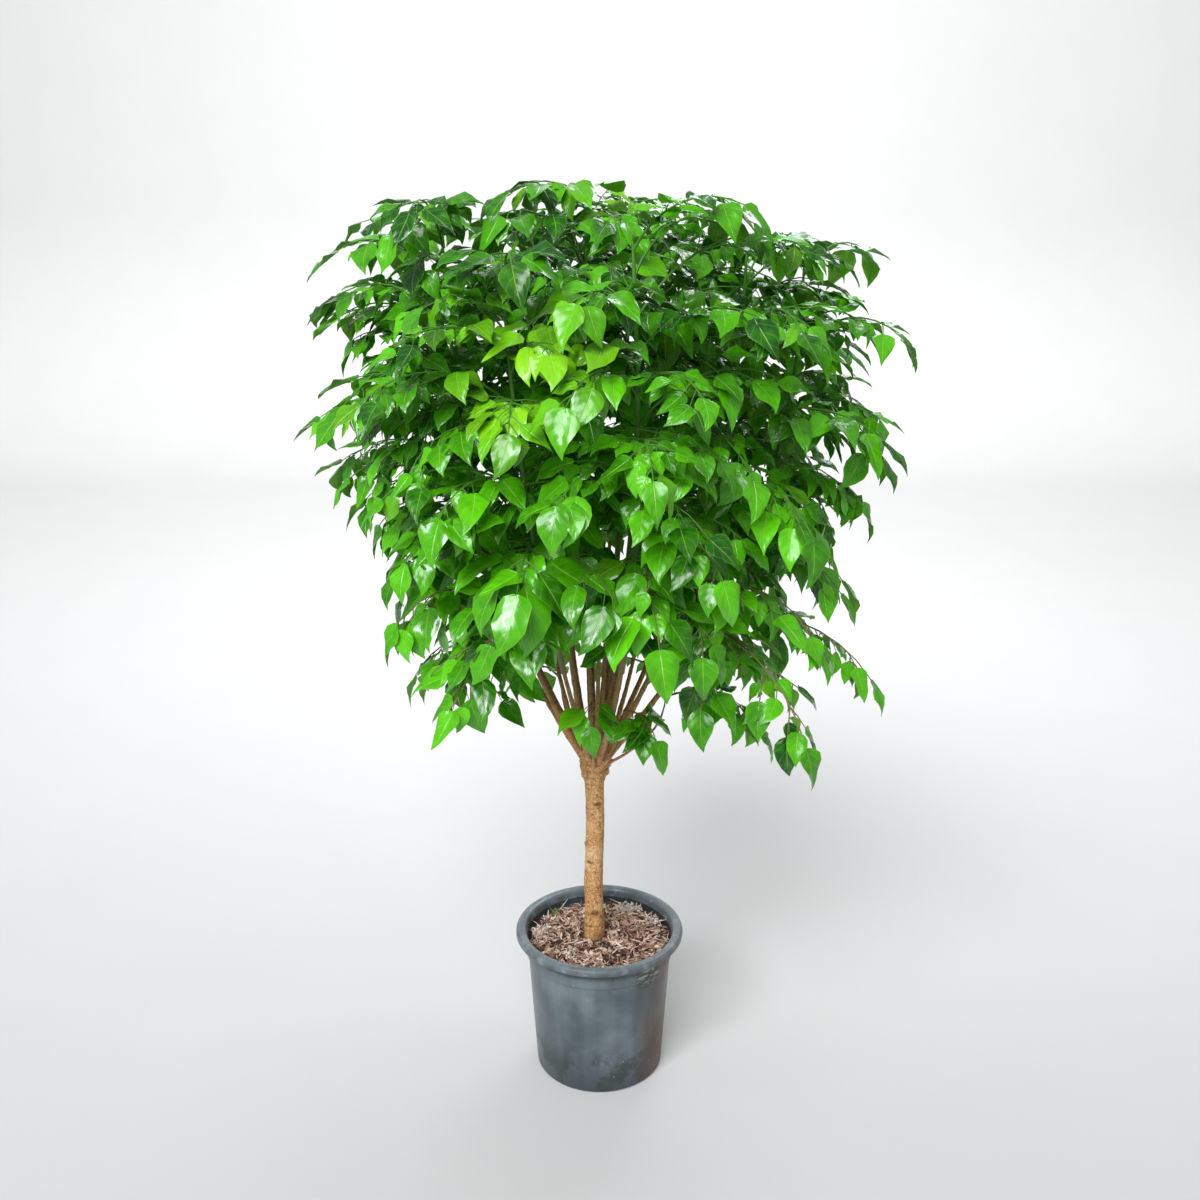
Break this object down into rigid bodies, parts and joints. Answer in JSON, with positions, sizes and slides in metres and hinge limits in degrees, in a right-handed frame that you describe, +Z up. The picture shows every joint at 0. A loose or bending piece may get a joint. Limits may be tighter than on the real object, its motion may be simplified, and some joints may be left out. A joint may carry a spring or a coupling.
{
  "type": "potted china doll plant",
  "caption": "China doll plant grown as a small tree: one bare trunk with a round crown of green stems and hanging leaflets, standing in soil in a dark nursery pot.",
  "frame": {"origin": "middle of the pot's underside, at the height of the surface it stands on", "axes": "+Z up the trunk; the fuller and lower side of the crown is towards +X, and the barer stems are towards -Y, the front"},
  "size_m": [0.9492, 0.9305, 1.5486],
  "materials": {
    "pot": "smooth moulded plastic, slightly scuffed",
    "soil": "coarse coir and bark",
    "bark": "fine dry bark",
    "foliage": "glossy leaf"
  },
  "bodies": {
    "root": {"pot": "pot", "soil": "soil", "trunk": "bark", "leafy_stem_1": "foliage", "leafy_stem_2": "foliage", "leafy_stem_3": "foliage", "leafy_stem_4": "foliage", "leafy_stem_5": "foliage", "leafy_stem_6": "foliage", "leafy_stem_7": "foliage", "leafy_stem_8": "foliage", "leafy_stem_9": "foliage", "leafy_stem_10": "foliage", "leafy_stem_11": "foliage", "leafy_stem_12": "foliage", "leafy_stem_13": "foliage", "leafy_stem_14": "foliage", "leafy_stem_15": "foliage", "low_shoot_1": "foliage", "low_shoot_2": "foliage", "low_shoot_3": "foliage", "low_shoot_4": "foliage"}
  },
  "joints": []
}
